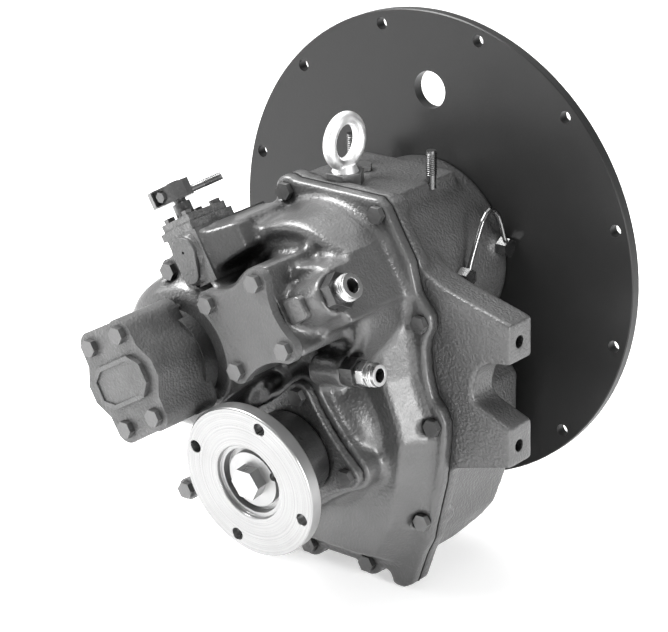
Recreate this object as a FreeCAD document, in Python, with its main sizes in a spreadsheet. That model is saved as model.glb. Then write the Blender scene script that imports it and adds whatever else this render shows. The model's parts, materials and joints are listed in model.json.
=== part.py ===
import FreeCAD, Part
import Sketcher
import os

doc = FreeCAD.newDocument("MarineGearbox")
sheet = doc.addObject("Spreadsheet::Sheet", "Sizes")
amounts = {}


def size(alias, value, meaning):
    row = len(amounts) + 1
    sheet.set("A%d" % row, meaning)
    sheet.set("B%d" % row, value)
    sheet.setAlias("B%d" % row, alias)
    amounts[alias] = float(value)


# Layout of the three shafts
size("layout_angle", "30", "turn of the shaft layout about the input axis, degrees")
size("gear_centres", "110", "distance between any two of the three shafts")
size("output_tilt", "7", "slope of the output shaft, degrees")
size("gear_plane", "82", "distance of the output gear behind the mounting face")
size("flange_reach", "170.77", "output gear centre to output flange face, along the shaft")
size("split_plane", "127", "distance of the housing joint behind the mounting face")

# Adapter plate
size("plate_radius", "201.6", "adapter plate rim radius")
size("plate_thick", "9.5", "adapter plate thickness")
size("plate_pcd", "381", "bolt circle of the engine flange")
size("plate_hole", "5.15", "engine bolt hole radius")
size("pilot_radius", "180.95", "pilot ring radius")
size("pilot_height", "4.5", "pilot ring height")
size("plate_bore", "55", "adapter plate centre bore radius")
size("plate_window", "15.875", "radius of the large hole in the adapter plate")
size("plate_window_at", "135.3", "height of the large hole over the input axis")
size("plate_screw_circle", "66", "radius of the screws that hold the plate")

# Main housing
size("neck_radius", "79", "housing neck radius")
size("crank_cavity", "70", "radius of the clutch space on the input axis")
size("counter_bulge", "68", "housing radius round the countershaft")
size("counter_cavity", "61", "radius of the clutch space on the countershaft")
size("front_wall", "38", "back of the wall in front of the input clutch")
size("waist_half", "111", "half width of the housing joint at the waist")
size("sump_half", "93", "half width of the sump")
size("sump_floor", "237", "depth of the sump below the input axis")
size("foot_drop", "12", "drop of the foot lugs below the sump")
size("joint_top", "84", "height of the joint flange over the input axis")
size("wall", "8", "casting wall thickness")
size("wing_reach", "165.4", "mounting pads, distance from the centre plane")
size("wing_thick", "30", "mounting wing thickness")
size("pad_hole_spacing", "88", "spacing of the mounting pad holes")
size("top_height", "79", "height of the flat top over the input axis")

# Rear cover
size("cover_flange", "12", "rear cover flange thickness")
size("gasket_thick", "0.5", "joint gasket thickness")
size("lug_radius", "12", "radius of the bolt lugs")
size("crank_dome", "74", "dome radius on the input axis")
size("crank_dome_end", "187", "back face of the input dome")
size("counter_dome", "67", "dome radius on the countershaft")
size("pump_plane", "222", "pump mounting face behind the mounting face")
size("boss_bolt", "28.4", "half spacing of the blanking cover bolts")
size("boss_lobe", "11", "lobe radius of the blanking cover")
size("boss_dip", "32.5", "distance of the blanking cover's hollow sides")
size("boss_end", "239", "back face of the square boss")
size("port_drop", "24", "distance of the upper port before the end of the square boss")
size("facet", "71", "flat side of the upper port block, distance from the input axis")
size("output_boss", "63", "output boss radius")
size("retainer_at", "102.8", "bearing retainer front face behind the output gear")
size("retainer_circle", "53.5", "radius of the bearing retainer bolts")

# Bolts
size("bolt_radius", "4", "M8 bolt radius")
size("bolt_clearance", "4.5", "M8 clearance hole radius")
size("bolt_tapped", "4.04", "M8 tapped hole radius")
size("head_radius", "7.506", "M8 hexagon head, radius over corners")
size("head_height", "5.3", "M8 hexagon head height")
size("cover_bolt_circle", "87.5", "radius of the upper cover bolts")

# Output side
size("flange_radius", "65.5", "output flange radius")
size("flange_thick", "12.5", "output flange thickness")
size("flange_hole_circle", "56", "radius of the output flange holes")
size("flange_hole", "5.3", "output flange hole radius")
size("flange_turn", "19.7", "turn of the output flange holes, degrees")
size("hub_radius", "37", "output flange hub radius")
size("recess_radius", "32", "output flange recess radius")
size("output_shaft_radius", "25", "output shaft radius in the rear bearing")
size("rear_bearing_radius", "42", "rear output bearing outer radius")
size("front_bearing_radius", "31", "front output bearing outer radius")

# Input side
size("input_radius", "17.5", "input shaft radius")
size("input_reach", "38", "input shaft reach in front of the mounting face")
size("crank_bearing", "36", "input bearing outer radius")
size("counter_radius", "15", "countershaft radius")
size("counter_bearing", "31", "countershaft bearing outer radius")
size("running_gap", "0.03", "radial gap of running fits")

# Gears
size("pinion_teeth", "27", "teeth of the pinions")
size("wheel_teeth", "53", "teeth of the output gear")
size("wheel_module", "2.75", "module of the output gear")
size("transfer_teeth", "44", "teeth of the transfer gears")
size("transfer_module", "2.5", "module of the transfer gears")
size("wheel_width", "14", "face width of the output gear")
size("drum_radius", "53.5", "clutch drum radius")

# Pump
size("pump_half_width", "40", "half width of the pump")
size("pump_half_height", "47", "half height of the pump")
size("pump_length", "58", "length of the pump body")
size("pump_ring", "41.3", "pump mounting ring radius")
size("pump_centres", "22", "distance between the pump gears")

# Valve
size("valve_left", "-64", "left side of the valve body in the layout frame")
size("valve_right", "-30", "right side of the valve body in the layout frame")
size("valve_top", "88", "top of the valve body in the layout frame")
size("valve_end", "226", "back face of the valve body")

# Directions
X_WAY = FreeCAD.Vector(1, 0, 0)
Y_WAY = FreeCAD.Vector(0, 1, 0)
Z_WAY = FreeCAD.Vector(0, 0, 1)
PLAIN = (Z_WAY, 0, "")
AFT = (X_WAY, 90, "")
FORE = (X_WAY, -90, "")
ACROSS = (Z_WAY, 90, "")
RIGHT = (Y_WAY, 90, "")
LAYOUT = (Y_WAY, -30, "0 deg - Sizes.layout_angle * 1 deg")
ALONG = (Y_WAY, 60, "90 deg - Sizes.layout_angle * 1 deg")
TILT = (X_WAY, 7, "Sizes.output_tilt * 1 deg")
TILT_AFT = (X_WAY, 97, "90 deg + Sizes.output_tilt * 1 deg")
ORIGIN = ("0", "0", "0")

count = [0]


def fresh(kind):
    count[0] += 1
    return doc.addObject(kind, "Shape%03d" % count[0])


def amount(text):
    total = 0.0
    for term in text.replace(" - ", " + -1 * ").split(" + "):
        product = 1.0
        divide = False
        for word in term.split():
            if word in ("*", "/"):
                divide = word == "/"
                continue
            factor = amounts[word[6:]] if word.startswith("Sizes.") else float(word)
            product = product / factor if divide else product * factor
        total += product
    return total


def place(item, at, turn):
    if isinstance(turn, FreeCAD.Rotation):
        item.Placement = FreeCAD.Placement(FreeCAD.Vector(0, 0, 0), turn)
    else:
        way, angle, rule = turn
        item.Placement = FreeCAD.Placement(FreeCAD.Vector(0, 0, 0), FreeCAD.Rotation(way, angle))
        if rule:
            item.setExpression("Placement.Rotation.Angle", rule)
    for letter, text in zip("xyz", at):
        if text != "0":
            item.setExpression("Placement.Base." + letter, text)
    return item


# A point given in the layout frame: across, back, up
def laid(across, back, up):
    cosine = "cos(Sizes.layout_angle * 1 deg)"
    sine = "sin(Sizes.layout_angle * 1 deg)"
    x = "(%s) * %s - (%s) * %s" % (across, cosine, up, sine)
    z = "(%s) * %s + (%s) * %s" % (across, sine, up, cosine)
    return (x, "0 - (%s)" % back, z)


# A point on the sloping output axis: right, back from the gear, up
def sloped(right, back, up):
    cosine = "cos(Sizes.output_tilt * 1 deg)"
    sine = "sin(Sizes.output_tilt * 1 deg)"
    y = "0 - Sizes.gear_plane - (%s) * %s - (%s) * %s" % (back, cosine, up, sine)
    z = "0 - Sizes.gear_centres - (%s) * %s + (%s) * %s" % (back, sine, up, cosine)
    return (right, y, z)


def cylinder(radius, length, at, turn=AFT):
    item = fresh("Part::Cylinder")
    item.setExpression("Radius", radius)
    item.setExpression("Height", length)
    return place(item, at, turn)


def cone(start, end, length, at, turn=AFT):
    item = fresh("Part::Cone")
    item.setExpression("Radius1", start)
    item.setExpression("Radius2", end)
    item.setExpression("Height", length)
    return place(item, at, turn)


def hexagon(corner, length, at, turn=AFT):
    item = fresh("Part::Prism")
    item.Polygon = 6
    item.setExpression("Circumradius", corner)
    item.setExpression("Height", length)
    return place(item, at, turn)


def box(long, wide, high, at, turn=PLAIN):
    item = fresh("Part::Box")
    item.setExpression("Length", long)
    item.setExpression("Width", wide)
    item.setExpression("Height", high)
    return place(item, at, turn)


def fuse(items):
    if len(items) == 1:
        return items[0]
    item = fresh("Part::MultiFuse")
    item.Shapes = items
    item.Refine = True
    return item


def common(items):
    item = fresh("Part::MultiCommon")
    item.Shapes = items
    return item


def cut(base, tools):
    item = fresh("Part::Cut")
    item.Base = base
    item.Tool = tools[0] if len(tools) == 1 else fuse(tools)
    item.Refine = True
    return item


def together(items):
    item = fresh("Part::Compound")
    item.Links = items
    return item


def ring(outer, inner, length, at, turn=AFT):
    return cut(cylinder(outer, length, at, turn), [cylinder(inner, length, at, turn)])


def role(body, name):
    for feature in body.Origin.OriginFeatures:
        if feature.Role == name:
            return feature


def outline(body, plane, points):
    sketch = body.newObject("Sketcher::SketchObject", fresh("App::FeaturePython").Name + "Sketch")
    sketch.AttachmentSupport = [(role(body, plane), "")]
    sketch.MapMode = "FlatFace"
    corners = [FreeCAD.Vector(amount(a), amount(b), 0) for a, b in points]
    last = len(corners)
    for number in range(last):
        sketch.addGeometry(Part.LineSegment(corners[number], corners[(number + 1) % last]), False)
    for number in range(last):
        sketch.addConstraint(Sketcher.Constraint("Coincident", number, 2, (number + 1) % last, 1))
    for number, pair in enumerate(points):
        for way, text in zip(("DistanceX", "DistanceY"), pair):
            made = sketch.addConstraint(Sketcher.Constraint(way, -1, 1, number, 1, amount(text)))
            if "Sizes." in text:
                sketch.setExpression("Constraints[%d]" % made, text)
    return sketch


# A flat shape drawn across and up, made thick toward the back
def slab(points, length, at=ORIGIN, turn=PLAIN):
    body = fresh("PartDesign::Body")
    sketch = outline(body, "XZ_Plane", points)
    pad = body.newObject("PartDesign::Pad", body.Name + "Pad")
    pad.Profile = sketch
    pad.setExpression("Length", length)
    body.Tip = pad
    return place(body, at, turn)


# The same with walls that lean in toward the back
def drafted(points, length, lean, at=ORIGIN, turn=PLAIN):
    body = slab(points, length, at, turn)
    body.Tip.TaperAngle = 0 - float(lean)
    return body


# A turned shape: radius and height along the local fore and aft axis
def turned(points, at=ORIGIN, turn=PLAIN):
    body = fresh("PartDesign::Body")
    sketch = outline(body, "XY_Plane", points)
    spin = body.newObject("PartDesign::Revolution", body.Name + "Spin")
    spin.Profile = sketch
    spin.ReferenceAxis = (sketch, ["V_Axis"])
    spin.Angle = 360
    body.Tip = spin
    return place(body, at, turn)


# A toothed wheel: gaps cut round a disc, the first gap at the top
def toothed(teeth, module, rim, root, width, at=ORIGIN, turn=PLAIN, foot_rim=None, wide="1"):
    rims = foot_rim or rim
    body = fresh("PartDesign::Body")
    half = "0 - " + width + " / 2"
    sketch = outline(body, "XY_Plane", [("0", width + " / 2"), (rim, width + " / 2"), (rims, half), ("0", half)])
    spin = body.newObject("PartDesign::Revolution", body.Name + "Spin")
    spin.Profile = sketch
    spin.ReferenceAxis = (sketch, ["V_Axis"])
    spin.Angle = 360
    body.Tip = spin
    low = module + " * 0.62 * " + wide
    high = module + " * 1.55 * " + wide
    top = rim + " + 3"
    points = [("0 - " + low, root), (low, root), (high, top), ("0 - " + high, top)]
    gap = outline(body, "XZ_Plane", points)
    pocket = body.newObject("PartDesign::Pocket", body.Name + "Gap")
    pocket.Profile = gap
    pocket.Type = "ThroughAll"
    pocket.Midplane = True
    body.Tip = pocket
    pattern = body.newObject("PartDesign::PolarPattern", body.Name + "Round")
    pattern.Originals = [pocket]
    pattern.Axis = (role(body, "Y_Axis"), [""])
    pattern.Angle = 360
    pattern.setExpression("Occurrences", teeth)
    body.Tip = pattern
    return place(body, at, turn)


# A hexagon bolt: the head starts at the seat and stands toward the back
def bolt(at_seat, at_tip, length, turn=AFT, grow="1"):
    head = hexagon("Sizes.head_radius * " + grow, "Sizes.head_height * " + grow, at_seat, turn)
    shank = cylinder("Sizes.bolt_radius * " + grow, length, at_tip, turn)
    return fuse([head, shank])


def negated(text):
    swapped = text.replace(" + ", " % ").replace(" - ", " + ").replace(" % ", " - ")
    return "0 - " + swapped


# A plate with a round lobe about each of its four bolts and hollow sides between them
def lobed(half, lobe, dip, length, at, turn):
    body = fuse([
        slab([(negated(half), negated(half + " + " + lobe)), (negated(half), half + " + " + lobe),
              (half, half + " + " + lobe), (half, negated(half + " + " + lobe))], length),
        slab([(negated(half + " + " + lobe), negated(half)), (negated(half + " + " + lobe), half),
              (half + " + " + lobe, half), (half + " + " + lobe, negated(half))], length),
        cylinder(lobe, length, (half, "0", half)),
        cylinder(lobe, length, (negated(half), "0", half)),
        cylinder(lobe, length, (half, "0", negated(half))),
        cylinder(lobe, length, (negated(half), "0", negated(half))),
    ])
    inner = "(%s - %s)" % (dip, lobe)
    far = "(2 * (%s)^2 - %s^2) / (2 * (%s - %s))" % (half, inner, half, inner)
    bite = far + " - " + dip
    hollows = [
        cylinder(bite, length + " + 2", (far, "1", "0")),
        cylinder(bite, length + " + 2", ("0 - " + far, "1", "0")),
        cylinder(bite, length + " + 2", ("0", "1", far)),
        cylinder(bite, length + " + 2", ("0", "1", "0 - " + far)),
    ]
    return place(cut(body, hollows), at, turn)


nodes = {}


def node(name, item):
    item.Label = name
    nodes[name] = item
    return item


def back(text):
    return "0 - (%s)" % text


COUNTER = "0 - Sizes.gear_centres"


def on_crank(y):
    return ("0", back(y), "0")


def on_counter(y):
    return laid(COUNTER, y, "0")


def mirrored(points):
    flipped = []
    for across, up in reversed(points):
        flipped.append((negated(across), up))
    return points + flipped


# Places of the retainer bolts, at four angles round the output shaft
FOUR_OUT = []
for angle in (79, 169, 259, 349):
    right = "Sizes.retainer_circle * cos(%d deg)" % angle
    up = "Sizes.retainer_circle * sin(%d deg)" % angle
    FOUR_OUT.append((right, up))

# Places of the blanking cover bolts, in the layout frame
SIDES = ("Sizes.boss_bolt", "0 - Sizes.boss_bolt")
FOUR_BOSS = [(across, up) for across in SIDES for up in SIDES]

# Outline of the housing joint, from the top down on the right side
JOINT_RIGHT = [
    ("0 - 46", "Sizes.joint_top"),
    ("45", "Sizes.joint_top"),
    ("53", "Sizes.joint_top - 6"),
    ("62", "Sizes.joint_top - 22"),
    ("77", "Sizes.joint_top - 47"),
    ("83", "Sizes.joint_top - 71"),
    ("90", "4"),
    ("97", "0 - 3"),
    ("98", "0 - 14"),
    ("93", "0 - 24"),
    ("91", "0 - 35"),
    ("93", "0 - 56"),
    ("98", "0 - 73"),
    ("Sizes.waist_half - 5", "0 - 81"),
    ("Sizes.waist_half", "0 - 92"),
    ("Sizes.waist_half", "0 - 107"),
    ("Sizes.waist_half - 5", "0 - 146"),
    ("Sizes.sump_half + 3", "0 - 186"),
    ("Sizes.sump_half", "0 - 200"),
    ("Sizes.sump_half - 8", "0 - Sizes.sump_floor + 21"),
    ("Sizes.sump_half - 18", "0 - Sizes.sump_floor - Sizes.foot_drop + 5"),
    ("Sizes.sump_half - 27", "0 - Sizes.sump_floor - Sizes.foot_drop"),
    ("Sizes.sump_half - 37", "0 - Sizes.sump_floor - Sizes.foot_drop + 1"),
    ("Sizes.sump_half - 41", "0 - Sizes.sump_floor"),
]
JOINT_LEFT = []
for across, up in reversed(JOINT_RIGHT[14:]):
    JOINT_LEFT.append((negated(across), up))
JOINT_LEFT += [("0 - Sizes.waist_half", "0 - 60"), ("0 - 57", "0"), ("0 - 57", "Sizes.joint_top - 9")]
CAVITY_RIGHT = [
    ("Sizes.neck_radius * 0.6", "0 - 30"),
    ("Sizes.waist_half - 2.4 * Sizes.wall", "0 - 92"),
    ("Sizes.waist_half - 2.7 * Sizes.wall", "0 - 134"),
    ("Sizes.sump_half - 2 * Sizes.wall - 3", "0 - 176"),
    ("Sizes.sump_half - 2 * Sizes.wall - 6", "0 - Sizes.sump_floor + 38"),
    ("Sizes.sump_half - 2 * Sizes.wall - 30", "0 - Sizes.sump_floor + 2 * Sizes.wall + 7"),
]
CAVITY = mirrored(CAVITY_RIGHT)
WALL_RIGHT = [
    ("Sizes.neck_radius * 0.7", "0 - 30"),
    ("Sizes.waist_half - 11", "0 - 86"),
    ("Sizes.waist_half - 12", "0 - 134"),
    ("Sizes.sump_half - 5", "0 - 180"),
    ("Sizes.sump_half - 9", "0 - Sizes.sump_floor + 34"),
    ("Sizes.sump_half - 17", "0 - Sizes.sump_floor + 16"),
    ("Sizes.sump_half - 34", "0 - Sizes.sump_floor + 6"),
]
WALL = mirrored(WALL_RIGHT)

# Places of the joint bolts: across and up
JOINT_BOLTS = [
    ("0 - 0.543 * Sizes.cover_bolt_circle", "0.846 * Sizes.cover_bolt_circle"),
    ("0.531 * Sizes.cover_bolt_circle", "0.823 * Sizes.cover_bolt_circle"),
    ("1.006 * Sizes.cover_bolt_circle", "0 - 0.126 * Sizes.cover_bolt_circle"),
    ("Sizes.waist_half - 11", "0 - 96"),
    ("Sizes.sump_half - 4", "0 - 182"),
    ("31", "0 - Sizes.sump_floor + 2"),
    ("0 - 31", "0 - Sizes.sump_floor + 2"),
    ("0 - Sizes.sump_half + 4", "0 - 182"),
    ("0 - Sizes.waist_half - 23", "0 - 122.5"),
    ("0 - Sizes.waist_half - 23", "12.5"),
]


def joint_plate(start, thick):
    parts = [
        cylinder("Sizes.neck_radius - 0.05", thick, on_crank(start)),
        cylinder("Sizes.counter_bulge + 1", thick, on_counter(start)),
        slab(JOINT_RIGHT + JOINT_LEFT, thick, ("0", back(start), "0")),
    ]
    for across, up in JOINT_BOLTS[:1] + JOINT_BOLTS[5:7] + JOINT_BOLTS[8:]:
        parts.append(cylinder("Sizes.lug_radius", thick, (across, back(start), up)))
    return parts


def joint_holes(radius, start, length):
    return [cylinder(radius, length, (across, back(start), up)) for across, up in JOINT_BOLTS]


def spaces(start, length):
    return [
        cylinder("Sizes.crank_cavity", length, on_crank(start)),
        cylinder("Sizes.counter_cavity", length, on_counter(start)),
        slab(CAVITY, length, ("0", back(start), "0")),
    ]


# Adapter plate
rim = turned([
    ("Sizes.plate_bore", "0"),
    ("Sizes.pilot_radius - 5", "0"),
    ("Sizes.pilot_radius - 5", "Sizes.pilot_height"),
    ("Sizes.pilot_radius", "Sizes.pilot_height"),
    ("Sizes.pilot_radius", "0"),
    ("Sizes.plate_radius - 0.8", "0"),
    ("Sizes.plate_radius", "0 - 0.8"),
    ("Sizes.plate_radius", "0 - Sizes.plate_thick + 0.8"),
    ("Sizes.plate_radius - 0.8", "0 - Sizes.plate_thick"),
    ("Sizes.plate_bore", "0 - Sizes.plate_thick"),
])
holes = []
for number in range(12):
    angle = "(%d deg)" % (15 + 30 * number)
    at = ("Sizes.plate_pcd / 2 * cos%s" % angle, "1", "Sizes.plate_pcd / 2 * sin%s" % angle)
    holes.append(cylinder("Sizes.plate_hole", "Sizes.plate_thick + 2", at))
holes.append(cylinder("Sizes.plate_window", "Sizes.plate_thick + 2", ("0", "1", "Sizes.plate_window_at")))
screws = []
for number in range(6):
    angle = "(%d deg)" % (60 * number)
    x = "Sizes.plate_screw_circle * cos%s" % angle
    z = "Sizes.plate_screw_circle * sin%s" % angle
    holes.append(cylinder("Sizes.bolt_clearance", "Sizes.plate_thick + 2", (x, "1", z)))
    holes.append(cylinder("7.2", "6", (x, "0.5", z)))
    head = cylinder("6.5", "5", (x, "0 - 0.5", z))
    shank = cylinder("Sizes.bolt_radius", "25", (x, "0 - 5.5", z))
    key = hexagon("3.2", "2.5", (x, "0 - 0.5", z))
    screws.append(cut(fuse([head, shank]), [key]))
node("adapter_plate", cut(rim, holes))
node("adapter_plate_bolts", together(screws))

# Main housing
BACK = "Sizes.split_plane"
profile = [
    ("0 - 24", "0"),
    ("0 - 24", "0 - Sizes.sump_floor + 59"),
    ("0 - 34", "0 - Sizes.sump_floor + 34"),
    ("0 - 46", "0 - Sizes.sump_floor + 24"),
    ("0 - Sizes.split_plane", "0 - Sizes.sump_floor + 2"),
    ("0 - Sizes.split_plane", "0"),
]
side_view = slab(profile, "260", ("0 - 130", "0", "0"), ACROSS)
sump_wall = slab(WALL, "Sizes.split_plane - 24", ("0", "0 - 24", "0"))
parts = [
    cylinder("Sizes.neck_radius", "Sizes.split_plane - Sizes.plate_thick", on_crank("Sizes.plate_thick")),
    cylinder("Sizes.plate_bore - 0.03", "6", ("0", "0 - Sizes.plate_thick + 6", "0")),
    cylinder("Sizes.counter_bulge - 2", "Sizes.split_plane - 45", on_counter("45")),
    cone("Sizes.counter_bulge - 10", "Sizes.counter_bulge - 2", "8", on_counter("41")),
    common([side_view, sump_wall]),
    box("98.5", "Sizes.split_plane - 30", "40",
        ("0 - 56", "0 - Sizes.split_plane", "Sizes.top_height - 40")),
]
parts += joint_plate(BACK + " - 12", "12")
for across, up in JOINT_BOLTS:
    parts.append(cylinder("Sizes.lug_radius - 3", "19", (across, back(BACK), up), FORE))
wing = [
    ("60", "36"),
    ("73", "34"),
    ("80", "28"),
    ("92", "21.5"),
    ("108", "15.8"),
    ("127", "10.8"),
    ("146", "6"),
    ("Sizes.wing_reach", "0.5"),
    ("Sizes.wing_reach", "0 - 33"),
    ("144", "0 - 36.5"),
    ("137", "0 - 41"),
    ("131.5", "0 - 50"),
    ("129", "0 - 60"),
    ("129", "0 - 67"),
    ("133", "0 - 74"),
    ("Sizes.wing_reach", "0 - 86.5"),
    ("Sizes.wing_reach", "0 - 120"),
    ("112", "0 - 134"),
    ("90", "0 - 150"),
]
other = [(negated(across), up) for across, up in reversed(wing)]
start = ("0", "0 - Sizes.split_plane + Sizes.wing_thick", "0")
parts.append(slab(wing, "Sizes.wing_thick", start))
parts.append(slab(other, "Sizes.wing_thick", start))
output_front = cylinder("Sizes.front_bearing_radius + 9", "22", sloped("0", "0 - 36", "0"), TILT_AFT)
parts.append(cylinder("9", "20", ("Sizes.neck_radius - 19.5", "0 - 73.5", "8"), RIGHT))
parts.append(cylinder("9", "20", ("Sizes.neck_radius - 19.5", "0 - 20", "18.5"), RIGHT))
web = slab([("0 - 100", "0 - 70"), ("40", "0 - 60"), ("80", "0 - 85"), ("0 - 90", "0 - 120")], "20",
           ("0", "0 - 42", "0"))
parts.append(web)
outside = fuse(parts)
inside = [
    cylinder("Sizes.crank_cavity", "Sizes.split_plane - Sizes.front_wall + 1", on_crank("Sizes.front_wall")),
    cylinder("Sizes.counter_cavity", "Sizes.split_plane - 71", on_counter("72")),
    slab(CAVITY, "Sizes.split_plane - 49", ("0", "0 - 50", "0")),
]
hollow = cut(outside, inside)
filled = fuse([
    hollow,
    cut(output_front, [cylinder("Sizes.crank_cavity", "Sizes.split_plane", on_crank("Sizes.front_wall"))]),
])
bores = [
    cylinder("Sizes.crank_bearing", "Sizes.front_wall - 19", on_crank("20")),
    cylinder("26", "21.5", ("0", "1", "0")),
    cylinder("Sizes.counter_bearing", "17", on_counter("56")),
    cylinder("Sizes.counter_bearing - 8", "6", on_counter("51")),
    cylinder("Sizes.front_bearing_radius", "18.5", sloped("0", "0 - 31.5", "0"), TILT_AFT),
    cylinder("Sizes.front_bearing_radius - 8", "4", sloped("0", "0 - 33.5", "0"), TILT_AFT),
    box("60", "40", "30", ("Sizes.wing_reach - 1000", "0", "0")),
]
bores += joint_holes("Sizes.bolt_tapped", BACK + " - 15", "16")
for number in range(6):
    angle = "(%d deg)" % (60 * number)
    x = "Sizes.plate_screw_circle * cos%s" % angle
    z = "Sizes.plate_screw_circle * sin%s" % angle
    bores.append(cylinder("Sizes.bolt_tapped", "24", (x, "0 - Sizes.plate_thick + 1", z)))
for side, deep in (("Sizes.wing_reach - 26", "27"), ("0 - Sizes.wing_reach - 1", "17")):
    for up in ("0 - 16.5", "0 - 16.5 - Sizes.pad_hole_spacing"):
        bores.append(cylinder("5.1", deep, (side, "0 - Sizes.split_plane + 14", up), RIGHT))
STUDS = [("0 - 41", "0 - 62"), ("41", "0 - 62")]
for x, y in STUDS:
    bores.append(cylinder("Sizes.bolt_tapped", "9", (x, y, "Sizes.top_height - 8"), PLAIN))
EYE_X = "0 - 13.5"
EYE_Y = "0 - 105"
bores.append(cylinder("6.05", "8", (EYE_X, EYE_Y, "Sizes.top_height - 7"), PLAIN))
bores.append(cylinder("16.7", "12", (EYE_X, EYE_Y, "Sizes.top_height"), PLAIN))
bores.append(cylinder("6.05", "16", ("0", "0 - 96", "0 - Sizes.sump_floor - 2"), PLAIN))
bores.append(cylinder("5.05", "8", ("0 - 21", "0 - 72", "Sizes.top_height - 7"), PLAIN))
node("main_housing", cut(filled, bores))

# Fittings on top of the housing
eye = fresh("Part::Torus")
eye.setExpression("Radius1", "19.1")
eye.setExpression("Radius2", "5.4")
place(eye, (EYE_X, EYE_Y, "Sizes.top_height + 34"), RIGHT)
collar = cone("11", "8.5", "6", (EYE_X, EYE_Y, "Sizes.top_height + 9"), PLAIN)
screw = cylinder("6", "17", (EYE_X, EYE_Y, "Sizes.top_height - 6"), PLAIN)
node("lifting_eye", fuse([eye, collar, screw]))
nut = hexagon("16.2", "9", (EYE_X, EYE_Y, "Sizes.top_height"), PLAIN)
node("lifting_eye_nut", cut(nut, [cylinder("6.03", "12", (EYE_X, EYE_Y, "Sizes.top_height - 0.5"), PLAIN)]))
studs = [cylinder("Sizes.bolt_radius", "32", (x, y, "Sizes.top_height - 7"), PLAIN) for x, y in STUDS]
node("top_studs", together(studs))
plug_head = hexagon("7.5", "5.3", ("0 - 21", "0 - 72", "Sizes.top_height"), PLAIN)
plug_stem = cylinder("5", "7", ("0 - 21", "0 - 72", "Sizes.top_height - 6"), PLAIN)
node("top_plug", fuse([plug_head, plug_stem]))
drain_head = hexagon("11", "7", ("0", "0 - 96", "0 - Sizes.sump_floor - 1"), PLAIN)
drain_stem = cylinder("6", "14", ("0", "0 - 96", "0 - Sizes.sump_floor - 1"), PLAIN)
node("drain_plug", fuse([drain_head, drain_stem]))

# Joint gasket
JOINT = BACK
seal_parts = fuse(joint_plate(JOINT, "Sizes.gasket_thick"))
seal_cuts = spaces(BACK + " - 1", "3") + joint_holes("Sizes.bolt_clearance", BACK + " - 1", "3")
node("housing_gasket", cut(seal_parts, seal_cuts))

# Rear cover
FACE = "Sizes.split_plane + Sizes.gasket_thick"
SEAT = "Sizes.split_plane + Sizes.cover_flange"
parts = joint_plate(FACE, "Sizes.cover_flange - Sizes.gasket_thick")
dome = turned([
    ("0", "0 - Sizes.split_plane - 6"),
    ("Sizes.crank_dome + 1", "0 - Sizes.split_plane - 6"),
    ("Sizes.crank_dome", "0 - Sizes.split_plane - 16"),
    ("Sizes.crank_dome - 3", "0 - Sizes.crank_dome_end + 16"),
    ("Sizes.crank_dome - 4.5", "0 - Sizes.crank_dome_end + 6"),
    ("Sizes.crank_dome - 7.5", "0 - Sizes.crank_dome_end + 1"),
    ("Sizes.crank_dome - 12", "0 - Sizes.crank_dome_end"),
    ("Sizes.crank_dome - 20", "0 - Sizes.crank_dome_end + 4"),
    ("0", "0 - Sizes.crank_dome_end + 4"),
])
low_dome = turned([
    ("0", "0 - Sizes.split_plane - 6"),
    ("Sizes.counter_dome", "0 - Sizes.split_plane - 6"),
    ("Sizes.counter_dome - 1", "0 - Sizes.pump_plane + 20"),
    ("Sizes.counter_dome - 4", "0 - Sizes.pump_plane + 8"),
    ("Sizes.counter_dome - 9", "0 - Sizes.pump_plane + 2"),
    ("Sizes.counter_dome - 15", "0 - Sizes.pump_plane"),
    ("0", "0 - Sizes.pump_plane"),
], laid(COUNTER, "0", "0"))
parts.append(dome)
parts.append(low_dome)
parts.append(lobed("Sizes.boss_bolt", "Sizes.boss_lobe + 1.2", "Sizes.boss_dip + 1.2", "Sizes.boss_end - 170",
                   laid("0", "170", "0"), LAYOUT))
bulk = mirrored([
    ("40", "0 - 6"),
    ("78", "0 - 14"),
    ("83", "0 - 58"),
    ("Sizes.waist_half - 16", "0 - 88"),
    ("Sizes.waist_half - 11", "0 - 108"),
    ("Sizes.waist_half - 16", "0 - 148"),
    ("Sizes.sump_half - 7", "0 - 190"),
    ("Sizes.sump_half - 26", "0 - Sizes.sump_floor + 9"),
    ("40", "0 - Sizes.sump_floor + 6"),
])
parts.append(drafted(bulk, "24", "32", ("0", back(SEAT + " - 1"), "0")))
TURNED_PLATE = FreeCAD.Rotation(X_WAY, 7) * FreeCAD.Rotation(Y_WAY, -34)
parts.append(cone("Sizes.output_boss + 16", "Sizes.output_boss - 5", "34",
                  sloped("0", "Sizes.retainer_at - 46", "0"), TILT_AFT))
parts.append(lobed("Sizes.retainer_circle * 0.7071", "15.5", "50.5", "16",
                   sloped("0", "Sizes.retainer_at - 16", "0"), TURNED_PLATE))
PORT = "Sizes.boss_end - Sizes.port_drop"
parts.append(cylinder("17.8", "60", laid("11", PORT, "0 - 4"), ALONG))
flank = [("20", "0 - 28"), ("Sizes.facet", "0 - 28"), ("Sizes.facet", "20"), ("53", "43"), ("20", "60")]
flank_long = "Sizes.crank_dome_end - Sizes.split_plane - 13"
parts.append(slab(flank, flank_long, laid("0", "Sizes.split_plane + 8", "0"), LAYOUT))
block = [("30", "0 - 30"), ("Sizes.facet", "0 - 30"), ("Sizes.facet", "15"), ("60", "22"), ("30", "30")]
parts.append(slab(block, "34", laid("0", PORT + " - 38", "0"), LAYOUT))

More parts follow.
